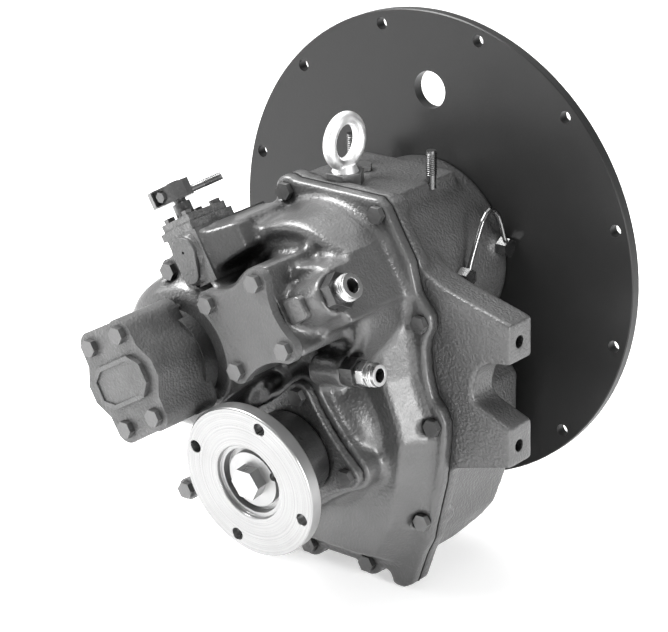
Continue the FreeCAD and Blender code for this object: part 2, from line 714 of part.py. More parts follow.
# The chest between the valve and the dome, and the web from the square boss down to the output boss
chest = [("Sizes.valve_right", "50"), ("0 - 8", "56"), ("0 - 8", "80"), ("Sizes.valve_right", "86")]
parts.append(slab(chest, "67", laid("0", "Sizes.split_plane + 11", "0"), LAYOUT))
low_web = [("0 - 40", "0 - 40"), ("34", "0 - 40"), ("34", "0 - 84"), ("0 - 40", "0 - 84")]
parts.append(slab(low_web, "38", ("0", back("Sizes.split_plane + 11"), "0")))

LOW_PORT = (Y_WAY, 82, "")
parts.append(cylinder("12.7", "36", ("24", "0 - 190.7", "0 - 47"), LOW_PORT))
parts.append(box("38", "46", "70", laid("0 - 66", "185.3", "0"), LAYOUT))
STRAINER = ("0 - 95", "0 - 175.5")
parts.append(cylinder("21", "46", (STRAINER[0], back(SEAT), STRAINER[1])))
parts.append(cylinder("10", "46", ("0 - 120", back(SEAT), "0 - 190")))
parts.append(cylinder("10", "46", ("0 - 70", back(SEAT), "0 - 161")))
parts.append(cylinder("11", "26", laid("0 - 92", "175", "67")))
outside = fuse(parts)
inner = mirrored([
    ("36", "0 - 34"),
    ("62", "0 - 50"),
    ("Sizes.waist_half - 40", "0 - 92"),
    ("Sizes.waist_half - 44", "0 - 128"),
    ("Sizes.sump_half - 36", "0 - 170"),
    ("Sizes.sump_half - 56", "0 - Sizes.sump_floor + 34"),
])
inside = [
    cylinder("Sizes.crank_cavity - 6", "Sizes.crank_dome_end - Sizes.split_plane - Sizes.wall", on_crank(BACK)),
    cylinder("Sizes.counter_cavity - 3", "Sizes.crank_dome_end - Sizes.split_plane + 4", on_counter(BACK)),
    slab(inner, "32", ("0", back(BACK), "0")),
    cylinder("Sizes.crank_bearing", "37", on_crank("176")),
    cylinder("Sizes.crank_bearing - 6", "30", on_crank("210")),
    cylinder("Sizes.counter_bearing", "24", on_counter("188")),
    cylinder("Sizes.counter_bearing - 3", "20", on_counter("206")),
    cylinder("Sizes.rear_bearing_radius", "40", sloped("0", "Sizes.retainer_at - 39", "0"), TILT_AFT),
    box("20", "Sizes.boss_end - Sizes.split_plane", "66",
        laid("Sizes.facet", "Sizes.boss_end + 0.2 + Sizes.cover_flange", "0 - 31"), LAYOUT),
    cylinder("15.5", "30", ("24 + 32 * 0.9903", "0 - 190.7", "0 - 47 + 32 * 0.1392"), LOW_PORT),
    cylinder("Sizes.output_boss + 2", "50", sloped("0", "Sizes.retainer_at", "0"), TILT_AFT),
    cylinder("10.2", "40", laid("0 - 92", "201", "67")),
    cylinder("Sizes.bolt_tapped", "18", laid("0 - 92", "184", "67")),
    cylinder("9", "30", laid("45", PORT, "0 - 4"), ALONG),
    cylinder("7", "30", ("36", "0 - 190.7", "0 - 45.3"), LOW_PORT),
    cylinder("14", "40", (STRAINER[0], back(SEAT + " + 10"), STRAINER[1])),
]
inside += joint_holes("Sizes.bolt_clearance", BACK, "Sizes.cover_flange + 2")
inside += joint_holes("9.5", SEAT, "70")
for across, up in FOUR_BOSS:
    inside.append(cylinder("Sizes.bolt_tapped", "22", laid(across, "Sizes.boss_end - 21", up)))
for across, up in (("18", "35.5"), ("0 - 18", "35.5"), ("18", "0 - 35.5"), ("0 - 18", "0 - 35.5")):
    at = laid("0 - Sizes.gear_centres + %s" % across.replace("0 - ", "-1 * "), "Sizes.pump_plane - 17", up)
    inside.append(cylinder("Sizes.bolt_tapped", "18", at))
for right, up in FOUR_OUT:
    inside.append(cylinder("Sizes.bolt_tapped", "20", sloped(right, "Sizes.retainer_at - 19", up), TILT_AFT))
for at in (("0 - 120", "0 - 190"), ("0 - 70", "0 - 161")):
    inside.append(cylinder("Sizes.bolt_tapped", "22", (at[0], back(SEAT + " + 25"), at[1])))
node("rear_cover", cut(outside, inside))

bolts = []
for across, up in JOINT_BOLTS:
    bolts.append(bolt((across, back(SEAT), up), (across, back(SEAT + " - 26"), up), "27"))
node("cover_bolts", together(bolts))

# Blanking cover on the square boss
disc = fuse([
    lobed("Sizes.boss_bolt", "Sizes.boss_lobe", "Sizes.boss_dip", "8", laid("0", "Sizes.boss_end", "0"), LAYOUT),
    cylinder("29.9", "5", on_crank("Sizes.boss_end - 4")),
])
holes = [cylinder("Sizes.bolt_clearance", "10", laid(a, "Sizes.boss_end - 1", u)) for a, u in FOUR_BOSS]
node("blanking_cover", cut(disc, holes))
bolts = []
for a, u in FOUR_BOSS:
    bolts.append(bolt(laid(a, "Sizes.boss_end + 8", u), laid(a, "Sizes.boss_end - 19", u), "28"))
node("blanking_cover_bolts", together(bolts))

# Pump
PUMP_W = "Sizes.pump_half_width"
PUMP_H = "Sizes.pump_half_height"
pump_points = [
    ("0 - " + PUMP_W, "0 - 7"),
    ("0 - " + PUMP_W, "7"),
    ("0 - " + PUMP_W + " + 9", "22"),
    ("0 - " + PUMP_W + " + 9.5", "35.5"),
    ("0 - 18", PUMP_H),
    ("18", PUMP_H),
    (PUMP_W + " - 9.5", "35.5"),
    (PUMP_W + " - 9", "22"),
    (PUMP_W, "7"),
    (PUMP_W, "0 - 7"),
    (PUMP_W + " - 9", "0 - 22"),
    (PUMP_W + " - 9.5", "0 - 35.5"),
    ("18", "0 - " + PUMP_H),
    ("0 - 18", "0 - " + PUMP_H),
    ("0 - " + PUMP_W + " + 9.5", "0 - 35.5"),
    ("0 - " + PUMP_W + " + 9", "0 - 22"),
]
PUMP = "Sizes.pump_plane"
PUMP_END = "Sizes.pump_plane + Sizes.pump_length"
FOUR_PUMP = (("18", "35.5"), ("-18", "35.5"), ("18", "-35.5"), ("-18", "-35.5"))


def pump_block(start, length):
    parts = [slab(pump_points, length, laid(COUNTER, start, "0"), LAYOUT)]
    for across, up in FOUR_PUMP:
        parts.append(cylinder("12.4", length, laid(COUNTER + " + (%s)" % across, start, up)))
    return fuse(parts)


body = fuse([
    cylinder("Sizes.pump_ring", "14", on_counter(PUMP)),
    pump_block(PUMP + " + 8", "Sizes.pump_length - 8"),
    cylinder("Sizes.counter_bearing - 3.03", "6", on_counter(PUMP + " - 5")),
])
IDLER_UP = "0 - Sizes.pump_centres"
chambers = [
    cylinder("13.4", "32", on_counter(PUMP_END + " - 32")),
    cylinder("13.4", "32", laid(COUNTER, PUMP_END + " - 32", IDLER_UP)),
    cylinder("8.1", "80", on_counter(PUMP + " - 10")),
    cylinder("5", "10", laid(COUNTER, PUMP_END + " - 40", IDLER_UP)),
]
for a, u in FOUR_PUMP:
    chambers.append(cylinder("Sizes.bolt_clearance", "90", laid(COUNTER + " + (%s)" % a, PUMP + " - 8", u)))
node("pump_body", cut(body, chambers))


def octagon(half_wide, half_high, length, start):
    corners = [
        ("0 - " + half_wide, "8"),
        ("0 - " + half_wide + " + 10", half_high),
        (half_wide + " - 10", half_high),
        (half_wide, "8"),
        (half_wide, "0 - 8"),
        (half_wide + " - 10", "0 - " + half_high),
        ("0 - " + half_wide + " + 10", "0 - " + half_high),
        ("0 - " + half_wide, "0 - 8"),
    ]
    return slab(corners, length, laid(COUNTER, start, "0"), LAYOUT)


lid = fuse([
    pump_block(PUMP_END, "8.5"),
    octagon("29", "18", "13", PUMP_END),
])
dish = octagon("25.5", "14.5", "3", PUMP_END + " + 11.5")
cuts = [dish, cylinder("5", "8", laid(COUNTER, PUMP_END + " - 1", IDLER_UP)),
        cylinder("8.1", "6", on_counter(PUMP_END + " - 1"))]
for a, u in FOUR_PUMP:
    cuts.append(cylinder("Sizes.bolt_clearance", "20", laid(COUNTER + " + (%s)" % a, PUMP_END + " - 5", u)))
node("pump_end_cover", cut(lid, cuts))
bolts = []
for a, u in FOUR_PUMP:
    seat = laid(COUNTER + " + (%s)" % a, PUMP_END + " + 8.5", u)
    tip = laid(COUNTER + " + (%s)" % a, PUMP + " - 15", u)
    bolts.append(bolt(seat, tip, "Sizes.pump_length + 24"))
node("pump_bolts", together(bolts))

# Pump gears, with wide spaces between their few teeth
pump_gear = toothed("10", "2.2", "12.8", "8.6", "30", laid(COUNTER, PUMP_END + " - 16", "0"), LAYOUT,
                    wide="1.15")
node("pump_drive_gear", cut(pump_gear, [cylinder("6", "34", on_counter(PUMP_END + " - 33"))]))
idler = toothed("10", "2.2", "12.8", "8.6", "30", laid(COUNTER, PUMP_END + " - 16", IDLER_UP),
                (Y_WAY, -12, "18 deg - Sizes.layout_angle * 1 deg"), wide="1.15")
pin = cylinder("4.95", "45", laid(COUNTER, PUMP_END + " - 39", IDLER_UP))
node("pump_idler_gear", fuse([idler, pin]))

# Control valve
LEFT = "Sizes.valve_left"
WIDE = "Sizes.valve_right - Sizes.valve_left"
block = [
    box(WIDE, "Sizes.valve_end - 141", "Sizes.valve_top - 70", laid(LEFT, "Sizes.valve_end", "70"), LAYOUT),
    box(WIDE, "Sizes.valve_end - 187", "30", laid(LEFT, "Sizes.valve_end", "44"), LAYOUT),
    cylinder("12.5", "8", laid("0 - 48", "Sizes.valve_end - 4", "74")),
    cylinder("9", "8", laid("0 - 50.5", "Sizes.valve_end - 4", "57")),
    cylinder("10", "24", laid("0 - 64", "Sizes.valve_end - 36", "60")),
]
block.append(box("30", "8", "14", laid("0 - 91", "209", "61"), LAYOUT))
holes = [
    cylinder("Sizes.counter_dome + 0.4", "110", on_counter("130")),
    cylinder("Sizes.crank_dome + 1.4", "57", on_crank("130")),
    cylinder("1.6", "10", laid("0 - 48", "Sizes.valve_end - 2", "74")),
    cylinder("3", "10", laid("0 - 52", "Sizes.valve_end - 6", "47")),
]
ear = cylinder("9.6", "8", laid("0 - 92", "201", "67"))
ear_hole = cylinder("Sizes.bolt_clearance", "10", laid("0 - 92", "200", "67"))
node("valve_body", cut(fuse([cut(fuse(block), holes), ear]), [ear_hole]))
plate_at = "Sizes.valve_end"
LOW = "Sizes.valve_top"
PLATE_LEFT = "0 - 68.5"
low_plate = box("37", "50", "6.5", laid(PLATE_LEFT, plate_at, LOW), LAYOUT)
top_plate = box("33", "44", "6.5", laid("0 - 66.5", plate_at + " - 3", LOW + " + 6.5"), LAYOUT)
STEM = ("0 - 50", "208.5")
LIFT = (Y_WAY, -30, "0 deg - Sizes.layout_angle * 1 deg")
stem_hole = cylinder("6.05", "20", laid(STEM[0], STEM[1], LOW + " - 1"), LIFT)
corners = [(a, y) for a in ("0 - 61", "0 - 39") for y in ("217", "184")]
low_holes = [cylinder("2.7", "20", laid(a, y, LOW + " - 2"), LIFT) for a, y in corners]
top_holes = [cylinder("2.7", "20", laid(a, y, LOW + " - 2"), LIFT) for a, y in corners]
node("valve_lower_plate", cut(low_plate, low_holes + [stem_hole]))
stem_hole_top = cylinder("6.05", "20", laid(STEM[0], STEM[1], LOW + " - 1"), LIFT)
node("valve_top_plate", cut(top_plate, top_holes + [stem_hole_top]))
screws = []
for a, y in corners:
    head = hexagon("4.62", "3.5", laid(a, y, LOW + " + 13"), LIFT)
    shank = cylinder("2.5", "14", laid(a, y, LOW), LIFT)
    screws.append(fuse([head, shank]))
node("valve_bolts", together(screws))
node("valve_stem", fuse([
    cylinder("6", "14", laid(STEM[0], STEM[1], LOW + " + 0.2"), LIFT),
    cylinder("7.6", "11", laid(STEM[0], STEM[1], LOW + " + 13.2"), LIFT),
    cylinder("5", "18", laid(STEM[0], STEM[1], LOW + " + 24"), LIFT),
]))
HUB = LOW + " + 27"
lever_points = [
    ("0 - 18", "0 - 7"),
    ("0 - 22", "0"),
    ("0 - 18", "7"),
    ("0 - 8", "9"),
    ("0", "11.5"),
    ("8", "11"),
    ("13", "6"),
    ("13", "0 - 6"),
    ("8", "0 - 11"),
    ("0", "0 - 11.5"),
    ("0 - 8", "0 - 9"),
]
lever = slab(lever_points, "14", laid(STEM[0], STEM[1], HUB))
lever.Placement = FreeCAD.Placement(
    lever.Placement.Base,
    FreeCAD.Rotation(Y_WAY, -30) * FreeCAD.Rotation(Z_WAY, 45) * FreeCAD.Rotation(X_WAY, -90))
node("control_lever", cut(lever, [
    cylinder("5.03", "20", laid(STEM[0], STEM[1], HUB + " - 3"), LIFT),
    cylinder("2.6", "9", laid("0 - 50 - 11.5", "208.5 + 11.5", HUB + " + 7"), LIFT),
    cylinder("2.53", "20", laid("0 - 54", "215", HUB + " + 7")),
    box("12", "10", "12", laid("0 - 60", "230", HUB + " + 1"), LAYOUT),
]))
slant = FreeCAD.Rotation(Y_WAY, -30) * FreeCAD.Rotation(Z_WAY, 45) * FreeCAD.Rotation(Y_WAY, 90)
rod = cylinder("3", "26", laid("0 - 50 + 13 * 0.7071", "208.5 - 13 * 0.7071", HUB + " + 4"))
rod.Placement = FreeCAD.Placement(rod.Placement.Base, slant)
node("lever_rod", rod)
clamp = fuse([
    hexagon("4.62", "3.5", laid("0 - 54", "220", HUB + " + 7"), AFT),
    cylinder("2.5", "5", laid("0 - 54", "215.5", HUB + " + 7"), AFT),
])
node("lever_clamp_screw", clamp)
node("valve_mounting_bolt", bolt(laid("0 - 92", "209", "67"), laid("0 - 92", "185", "67"), "25"))

# Ports
node("upper_port_adapter", cut(
    fuse([
        hexagon("15.6", "10", laid("71", PORT, "0 - 4"), ALONG),
        cylinder("8.9", "14", laid("58", PORT, "0 - 4"), ALONG),
    ]), [cylinder("5", "30", laid("56", PORT, "0 - 4"), ALONG)]))
node("upper_port_fitting", cut(
    fuse([
        cylinder("10.4", "11", laid("81", PORT, "0 - 4"), ALONG),
    ]), [cylinder("6", "14", laid("80", PORT, "0 - 4"), ALONG)]))


def low_port(along):
    return ("24 + (%s) * 0.9903" % along, "0 - 190.7", "0 - 47 + (%s) * 0.1392" % along)


node("lower_port_adapter", cut(
    fuse([
        hexagon("13", "12", low_port("32"), LOW_PORT),
        cylinder("6.9", "12", low_port("22"), LOW_PORT),
    ]), [cylinder("4", "40", low_port("20"), LOW_PORT)]))
node("lower_port_fitting", cut(
    fuse([
        cylinder("9", "20", low_port("44"), LOW_PORT),
        hexagon("11", "6", low_port("47"), LOW_PORT),
    ]), [cylinder("5.5", "24", low_port("43"), LOW_PORT)]))

# Suction strainer and its cover
cap = fuse([
    slab([("0 - 124.5", "0 - 182.2"), ("0 - 74.5", "0 - 153.2"), ("0 - 65.5", "0 - 168.8"), ("0 - 115.5", "0 - 197.8")],
         "7", ("0", back(SEAT + " + 46"), "0")),
    cylinder("19", "7", (STRAINER[0], back(SEAT + " + 46"), STRAINER[1])),
    cylinder("9.5", "7", ("0 - 120", back(SEAT + " + 46"), "0 - 190")),
    cylinder("9.5", "7", ("0 - 70", back(SEAT + " + 46"), "0 - 161")),
])
node("strainer_cover", cut(cap, [
    cylinder("Sizes.bolt_clearance", "9", ("0 - 120", back(SEAT + " + 45"), "0 - 190")),
    cylinder("Sizes.bolt_clearance", "9", ("0 - 70", back(SEAT + " + 45"), "0 - 161")),
]))
bolts = []
for x, z in (("0 - 120", "0 - 190"), ("0 - 70", "0 - 161")):
    bolts.append(bolt((x, back(SEAT + " + 53"), z), (x, back(SEAT + " + 29"), z), "25"))
node("strainer_bolts", together(bolts))
node("suction_strainer", ring("13", "11", "35", (STRAINER[0], back(SEAT + " + 11"), STRAINER[1])))

# Oil tube along the neck
TUBE = [(-72, 12), (-69, 20), (-63, 32), (-57, 43), (-53, 50), (-48, 55), (-43, 57), (-37, 55),
        (-32, 50), (-28, 42), (-25, 33), (-21, 22)]
path = fresh("Sketcher::SketchObject")
for number in range(len(TUBE) - 1):
    near = FreeCAD.Vector(TUBE[number][0], TUBE[number][1], 0)
    far = FreeCAD.Vector(TUBE[number + 1][0], TUBE[number + 1][1], 0)
    path.addGeometry(Part.LineSegment(near, far), False)
for number in range(len(TUBE) - 2):
    path.addConstraint(Sketcher.Constraint("Coincident", number, 2, number + 1, 1))
upright = FreeCAD.Rotation(Z_WAY, 90) * FreeCAD.Rotation(X_WAY, 90)
path.Placement = FreeCAD.Placement(FreeCAD.Vector(0, 0, 0), upright)
path.setExpression("Placement.Base.x", "Sizes.neck_radius + 6.5")
pipe_end = fresh("Part::Circle")
pipe_end.Radius = 2
first = FreeCAD.Vector(0, TUBE[0][0], TUBE[0][1])
second = FreeCAD.Vector(0, TUBE[1][0], TUBE[1][1])
pipe_end.Placement = FreeCAD.Placement(first, FreeCAD.Rotation(Z_WAY, second - first))
pipe_end.setExpression("Placement.Base.x", "Sizes.neck_radius + 6.5")
tube = fresh("Part::Sweep")
tube.Sections = [pipe_end]
tube.Spine = (path, [])
tube.Solid = True
tube.Transition = "Round corner"
node("oil_tube", tube)
BOSS = "Sizes.neck_radius + 0.5"
node("tube_fittings", together([
    cut(hexagon("8", "9.5", (BOSS, "0 - 73.5", "8"), RIGHT), [fuse([tube])]),
    cut(hexagon("8", "9.5", (BOSS, "0 - 20", "18.5"), RIGHT), [fuse([tube])]),
]))

# Output flange
F = "Sizes.flange_reach"
flange = turned([
    ("22", "0 - Sizes.flange_reach + 58"),
    ("Sizes.hub_radius - 1", "0 - Sizes.flange_reach + 58"),
    ("Sizes.hub_radius", "0 - Sizes.flange_reach + 57"),
    ("Sizes.hub_radius", "0 - Sizes.flange_reach + Sizes.flange_thick + 3"),
    ("Sizes.hub_radius + 3", "0 - Sizes.flange_reach + Sizes.flange_thick"),
    ("Sizes.flange_radius - 1", "0 - Sizes.flange_reach + Sizes.flange_thick"),
    ("Sizes.flange_radius", "0 - Sizes.flange_reach + Sizes.flange_thick - 1"),
    ("Sizes.flange_radius", "0 - Sizes.flange_reach + 1"),
    ("Sizes.flange_radius - 1", "0 - Sizes.flange_reach"),
    ("Sizes.recess_radius + 1", "0 - Sizes.flange_reach"),
    ("Sizes.recess_radius", "0 - Sizes.flange_reach + 1"),
    ("Sizes.recess_radius", "0 - Sizes.flange_reach + 4"),
    ("Sizes.recess_radius - 3.5", "0 - Sizes.flange_reach + 4"),
    ("Sizes.recess_radius - 3.5", "0 - Sizes.flange_reach + 11"),
    ("22", "0 - Sizes.flange_reach + 11"),
], sloped("0", "0", "0"), TILT)
holes = []
for number in range(4):
    angle = "(%d deg + 90 deg - Sizes.flange_turn * 1 deg)" % (90 * number)
    right = "Sizes.flange_hole_circle * cos%s" % angle
    up = "Sizes.flange_hole_circle * sin%s" % angle
    holes.append(cylinder("Sizes.flange_hole", "20", sloped(right, F + " - 15", up), TILT_AFT))
node("output_flange", cut(flange, holes))
notch = cylinder("3.5", "8", sloped("22", F + " - 12", "8"), TILT_AFT)
node("flange_washer", cut(cylinder("24", "5", sloped("0", F + " - 11", "0"), TILT_AFT),
                          [cylinder("8.2", "7", sloped("0", F + " - 12", "0"), TILT_AFT), notch]))
node("flange_bolt", fuse([
    hexagon("13.86", "10", sloped("0", F + " - 6", "0"), TILT_AFT),
    cylinder("8", "36", sloped("0", F + " - 41", "0"), TILT_AFT),
]))

# Bearing retainer behind the flange
plate_cuts = [cylinder("34", "12", sloped("0", "Sizes.retainer_at - 1", "0"), TILT_AFT)]
for right, up in FOUR_OUT:
    plate_cuts.append(cylinder("Sizes.bolt_clearance", "12", sloped(right, "Sizes.retainer_at - 1", up), TILT_AFT))
plate = lobed("Sizes.retainer_circle * 0.7071", "11", "45", "8", sloped("0", "Sizes.retainer_at", "0"),
              TURNED_PLATE)
node("bearing_retainer", cut(plate, plate_cuts))
bolts = []
for right, up in FOUR_OUT:
    bolts.append(bolt(sloped(right, "Sizes.retainer_at + 8", up), sloped(right, "Sizes.retainer_at - 17", up),
                      "26", TILT_AFT))
node("retainer_bolts", together(bolts))
node("output_seal", ring("34", "Sizes.output_shaft_radius + Sizes.running_gap", "9",
                         sloped("0", "Sizes.retainer_at - 2", "0"), TILT_AFT))
node("output_bearings", together([
    ring("Sizes.rear_bearing_radius", "Sizes.output_shaft_radius + Sizes.running_gap", "28",
         sloped("0", "Sizes.retainer_at - 32", "0"), TILT_AFT),
    ring("Sizes.front_bearing_radius", "20 + Sizes.running_gap", "16",
         sloped("0", "0 - 31.3", "0"), TILT_AFT),
]))
node("output_shaft", fuse([
    cylinder("20", "24", sloped("0", "0 - 31", "0"), TILT_AFT),
    cylinder("26", "56", sloped("0", "14.2", "0"), TILT_AFT),
    cylinder("24", "30", sloped("0", "0 - 14.5", "0"), TILT_AFT),
    cylinder("Sizes.output_shaft_radius", "Sizes.flange_reach - 128", sloped("0", "70", "0"), TILT_AFT),
    cut(cylinder("22", "Sizes.flange_reach - 111", sloped("0", "100", "0"), TILT_AFT),
        [cylinder("8.04", "40", sloped("0", F + " - 45", "0"), TILT_AFT)]),
]))
wheel = toothed("Sizes.wheel_teeth", "Sizes.wheel_module",
                "75.3 - 0.86", "67.6", "Sizes.wheel_width", sloped("0", "0", "0"), TILT, "75.3 + 0.86")
node("output_gear", cut(wheel, [cylinder("24", "40", sloped("0", "0 - 20", "0"), TILT_AFT)]))

# Input shaft line
node("input_shaft", fuse([
    cylinder("Sizes.input_radius - 1.5", "40", ("0", "Sizes.input_reach", "0")),
    cylinder("Sizes.input_radius", "Sizes.input_reach + 186", ("0", "Sizes.input_reach - 28", "0")),
]))
node("input_seal", ring("26", "Sizes.input_radius + Sizes.running_gap", "10", on_crank("8")))
node("input_bearings", together([
    ring("Sizes.crank_bearing", "Sizes.input_radius + Sizes.running_gap", "17", on_crank("20")),
    ring("Sizes.crank_bearing", "Sizes.input_radius + Sizes.running_gap", "17", on_crank("196")),
]))


def drum(at, shaft, turn):
    wheel = toothed("Sizes.transfer_teeth", "Sizes.transfer_module", "57.3", "51.8", "16",
                    at("116"), turn)
    shell = cylinder("Sizes.drum_radius", "52", at("124"))
    cuts = [
        cylinder("30.5", "30", at("106")),
        cylinder("Sizes.drum_radius - 5.5", "43", at("124")),
        cylinder(shaft, "90", at("100")),
    ]
    hub = ring("23", shaft, "24", at("167"))
    return fuse([cut(fuse([wheel, shell]), cuts), hub])


def clutch_set(at, hub):
    steels = []
    discs = []
    for number in range(4):
        y = 128 + number * 7.8
        steels.append(ring("Sizes.drum_radius - 5.6", "34", "3", at("%.1f" % y)))
        discs.append(ring("46", hub, "3.6", at("%.1f" % (y + 3.6))))
    return steels, discs


def piston(at, shaft):
    return ring("Sizes.drum_radius - 5.5", shaft, "6.7", at("160.3"))


steels, discs = clutch_set(on_crank, "27")
node("forward_drum", drum(on_crank, "Sizes.input_radius", PLAIN))
node("forward_steel_plates", together(steels))
node("forward_friction_discs", together(discs))
node("forward_piston", piston(on_crank, "26"))
pinion = toothed("Sizes.pinion_teeth", "Sizes.wheel_module", "39.6", "33.4", "20", on_crank("91"))
pinion_hub = cylinder("27", "62", on_crank("98"))
node("forward_pinion", cut(fuse([pinion, pinion_hub]),
                           [cylinder("Sizes.input_radius + Sizes.running_gap", "90", on_crank("75"))]))

# Countershaft line
node("countershaft", fuse([
    cylinder("Sizes.counter_radius", "158", on_counter("57")),
    cylinder("6", "74", on_counter("200")),
]))
node("countershaft_bearings", together([
    ring("Sizes.counter_bearing", "Sizes.counter_radius + Sizes.running_gap", "16", on_counter("56.3")),
    ring("Sizes.counter_bearing", "Sizes.counter_radius + Sizes.running_gap", "16", on_counter("195")),
]))
steels, discs = clutch_set(on_counter, "27")
node("reverse_drum", drum(on_counter, "Sizes.counter_radius", (Y_WAY, 1.364, "")))
node("reverse_steel_plates", together(steels))
node("reverse_friction_discs", together(discs))
node("reverse_piston", piston(on_counter, "26"))
pinion = toothed("Sizes.pinion_teeth", "Sizes.wheel_module", "39.6", "33.4", "20", on_counter("86.4"),
                 (Y_WAY, -4.444, ""))
pinion_hub = cylinder("27", "66", on_counter("94"))
node("reverse_pinion", cut(fuse([pinion, pinion_hub]),
                           [cylinder("Sizes.counter_radius + Sizes.running_gap", "100", on_counter("70"))]))

doc.recompute()
for item in doc.Objects:
    if "Invalid" in item.State or "Error" in item.State:
        raise RuntimeError("%s (%s) did not recompute" % (item.Name, item.Label))
os.makedirs("parts", exist_ok=True)
for name, item in nodes.items():
    shape = item.Shape
    if shape.isNull() or not shape.isValid():
        raise RuntimeError(name + " has no valid shape")
    shape.exportStep("parts/%s.step" % name)
print(len(nodes), "nodes written")
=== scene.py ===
import json
import math

import bmesh
import bpy
from mathutils import Matrix, Vector


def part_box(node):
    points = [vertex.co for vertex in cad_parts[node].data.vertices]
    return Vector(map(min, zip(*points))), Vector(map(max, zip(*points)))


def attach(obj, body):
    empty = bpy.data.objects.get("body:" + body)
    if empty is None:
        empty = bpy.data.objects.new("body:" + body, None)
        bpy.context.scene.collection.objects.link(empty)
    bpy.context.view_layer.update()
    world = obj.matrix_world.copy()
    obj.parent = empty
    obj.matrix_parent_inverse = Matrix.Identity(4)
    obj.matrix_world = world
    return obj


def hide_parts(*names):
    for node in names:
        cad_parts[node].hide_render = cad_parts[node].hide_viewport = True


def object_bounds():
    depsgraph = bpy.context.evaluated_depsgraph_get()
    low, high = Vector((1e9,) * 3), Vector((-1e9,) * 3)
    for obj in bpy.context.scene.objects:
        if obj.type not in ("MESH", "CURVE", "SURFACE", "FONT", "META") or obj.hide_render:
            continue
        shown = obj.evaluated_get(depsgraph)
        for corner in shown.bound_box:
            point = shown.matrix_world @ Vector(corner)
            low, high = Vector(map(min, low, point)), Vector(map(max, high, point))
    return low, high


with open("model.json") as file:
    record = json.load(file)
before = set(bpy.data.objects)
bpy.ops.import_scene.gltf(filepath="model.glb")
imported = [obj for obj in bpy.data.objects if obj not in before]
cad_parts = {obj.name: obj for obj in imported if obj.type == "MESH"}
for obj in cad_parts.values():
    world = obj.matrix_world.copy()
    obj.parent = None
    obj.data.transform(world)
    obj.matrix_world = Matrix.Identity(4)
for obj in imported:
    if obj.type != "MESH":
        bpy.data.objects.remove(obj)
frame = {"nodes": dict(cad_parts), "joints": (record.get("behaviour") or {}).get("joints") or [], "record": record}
nodes = frame["nodes"]
record = frame["record"]
cad_low, cad_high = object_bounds()

# Layout of the gearbox: the plane of the input shaft and countershaft leans, and the output shaft slopes
MM = 0.001
LAYOUT_ANGLE = math.radians(30)
ACROSS = Vector((math.cos(LAYOUT_ANGLE), 0, math.sin(LAYOUT_ANGLE)))
RISE = Vector((-math.sin(LAYOUT_ANGLE), 0, math.cos(LAYOUT_ANGLE)))
BACK = Vector((0, -1, 0))
OUTPUT = next(joint for joint in frame["joints"] if joint["name"] == "output_spin")
OUTPUT_CENTRE = Vector(OUTPUT["pos_m"])
OUTPUT_WAY = -Vector(OUTPUT["axis"])


def laid(across, back, up):
    """A point in millimetres of the leaning shaft layout: across, back from the engine face, up."""
    return (ACROSS * across + BACK * back + RISE * up) * MM


# Nodes of a material

def new_material(name):
    material = bpy.data.materials.new(name)
    material.use_nodes = True
    tree = material.node_tree
    shader = tree.nodes["Principled BSDF"]
    return material, tree, shader


def surface_point(tree):
    return tree.nodes.new("ShaderNodeTexCoord").outputs["Object"]


def noise(tree, scale, detail):
    node = tree.nodes.new("ShaderNodeTexNoise")
    node.inputs["Scale"].default_value = scale
    node.inputs["Detail"].default_value = detail
    tree.links.new(surface_point(tree), node.inputs["Vector"])
    return node.outputs["Fac"]


def ramp(tree, source, stops):
    """Levels of grey by a factor: each stop is a place on the factor and its level."""
    node = tree.nodes.new("ShaderNodeValToRGB")
    tree.links.new(source, node.inputs["Fac"])
    for element, (place, level) in zip(node.color_ramp.elements, stops):
        element.position = place
        element.color = (level, level, level, 1)
    return node.outputs["Color"]


def clouds(tree, scale, detail, stops):
    """Levels of grey by noise."""
    return ramp(tree, noise(tree, scale, detail), stops)


def mix_node(tree, first, second):
    node = tree.nodes.new("ShaderNodeMix")
    node.data_type = "RGBA"
    tree.links.new(first, node.inputs["A"])
    tree.links.new(second, node.inputs["B"])
    return node


def mixed(tree, share, first, second):
    node = mix_node(tree, first, second)
    tree.links.new(share, node.inputs["Factor"])
    return node.outputs["Result"]


def multiplied(tree, first, second):
    node = mix_node(tree, first, second)
    node.blend_type = "MULTIPLY"
    node.inputs["Factor"].default_value = 1
    return node.outputs["Result"]


def bump(tree, shader, layers):
    """Relief from several layers: each a height, a strength and a distance in metres."""
    last = None
    for source, strength, distance in layers:
        node = tree.nodes.new("ShaderNodeBump")
        node.inputs["Strength"].default_value = strength
        node.inputs["Distance"].default_value = distance
        tree.links.new(source, node.inputs["Height"])
        if last:
            tree.links.new(last, node.inputs["Normal"])
        last = node.outputs["Normal"]
    tree.links.new(last, shader.inputs["Normal"])


def edge_highlight_and_wear(tree):
    """A mask that is high on outer edges, broken up by noise, for lighter edges that are part painted highlight
    and part worn paint.
    """
    shape = tree.nodes.new("ShaderNodeNewGeometry")
    edges = ramp(tree, shape.outputs["Pointiness"], [(0.53, 0.0), (0.6, 1.0)])
    spots = clouds(tree, 150, 4, [(0.45, 0.0), (0.65, 0.6)])
    node = tree.nodes.new("ShaderNodeMath")
    node.operation = "MULTIPLY"
    tree.links.new(edges, node.inputs[0])
    tree.links.new(spots, node.inputs[1])
    return node.outputs["Value"]


def painted_hollow_shade(tree, hollow_shade_level):
    """A factor that falls in the hollows, for painted shade: it darkens the colour in hollows and between parts.
    """
    node = tree.nodes.new("ShaderNodeAmbientOcclusion")
    node.inputs["Distance"].default_value = 0.045
    node.samples = 6
    return ramp(tree, node.outputs["AO"], [(0.25, hollow_shade_level), (0.85, 1.0)])


